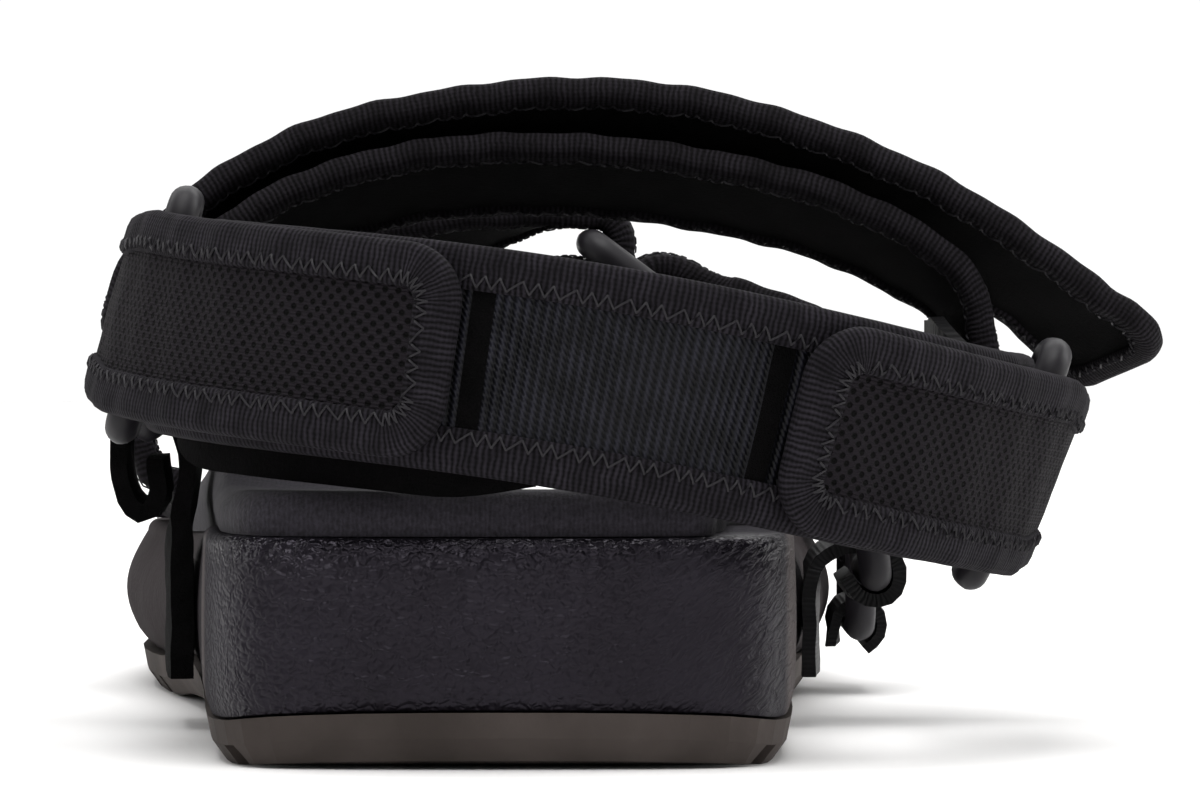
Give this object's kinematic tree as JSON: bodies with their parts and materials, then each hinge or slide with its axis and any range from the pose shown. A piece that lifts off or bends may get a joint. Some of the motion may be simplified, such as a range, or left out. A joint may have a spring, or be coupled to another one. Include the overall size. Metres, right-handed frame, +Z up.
{
  "type": "sport sandal",
  "caption": "Right strapped sport sandal: thick moulded sole, padded footbed with raised arch, folded heel, instep and forefoot straps on plastic loops.",
  "frame": {"origin": "on the ground in the middle of the heel's flat rest", "axes": "+Y towards the toe, +X towards the outer side of the right foot, +Z up"},
  "size_m": [0.1415, 0.2922, 0.0858],
  "materials": {
    "outsole_rubber": "matt grey rubber",
    "midsole_foam": "moulded pebble grain, slight sheen",
    "footbed_fabric": "fine woven cover over foam",
    "strap_knit": "knit binding, webbing and mesh",
    "webbing": "black webbing and loop tape",
    "ring_plastic": "dark moulded plastic, soft gloss"
  },
  "bodies": {
    "root": {"outsole": "outsole_rubber", "midsole": "midsole_foam", "footbed": "footbed_fabric", "heel_strap": "strap_knit", "instep_strap": "strap_knit", "forefoot_strap_inner": "strap_knit", "forefoot_strap_outer": "strap_knit", "side_anchor_inner": "webbing", "side_anchor_outer": "webbing", "forefoot_anchor_outer": "webbing", "link_strap_inner": "webbing", "link_strap_outer": "webbing", "heel_ring_inner": "ring_plastic", "heel_ring_outer": "ring_plastic", "instep_ring_inner": "ring_plastic", "instep_ring_outer": "ring_plastic", "forefoot_ring_outer": "ring_plastic", "forefoot_ring_top": "ring_plastic"}
  },
  "joints": []
}
